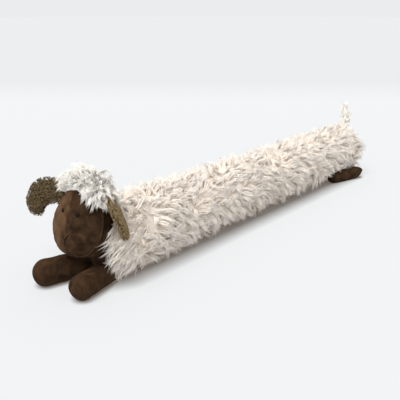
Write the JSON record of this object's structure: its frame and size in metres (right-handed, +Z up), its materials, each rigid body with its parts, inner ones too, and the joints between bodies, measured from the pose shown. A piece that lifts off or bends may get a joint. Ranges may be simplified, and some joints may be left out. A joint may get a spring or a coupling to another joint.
{
  "type": "draught excluder",
  "caption": "Long stuffed draught excluder in the shape of a lying sheep, a shaggy fleece tube with a suede head, curly ears, stubby legs and an upright tail.",
  "frame": {"origin": "middle of the footprint on the floor", "axes": "+X runs from the head to the tail, +Z is up, and the near ear and legs are on the -Y side"},
  "size_m": [0.876, 0.2082, 0.1865],
  "materials": {
    "cream_fleece": "long shaggy cream pile in soft clumps",
    "white_fleece": "longer off-white pile",
    "brown_suede": "dark brown imitation suede with a fine nap",
    "curly_cloth": "olive-brown curly loop pile",
    "dark_bead": "near-black domed bead"
  },
  "bodies": {
    "root": {"fleece_tube": "cream_fleece", "chest_panel": "brown_suede", "face": "brown_suede", "head_back": "brown_suede", "topknot": "white_fleece", "ear_near": "curly_cloth", "ear_far": "curly_cloth", "leg_front_near": "brown_suede", "leg_front_far": "brown_suede", "leg_back_near": "brown_suede", "leg_back_far": "brown_suede", "tail": "white_fleece", "eye_near": "dark_bead", "eye_far": "dark_bead"}
  },
  "joints": []
}
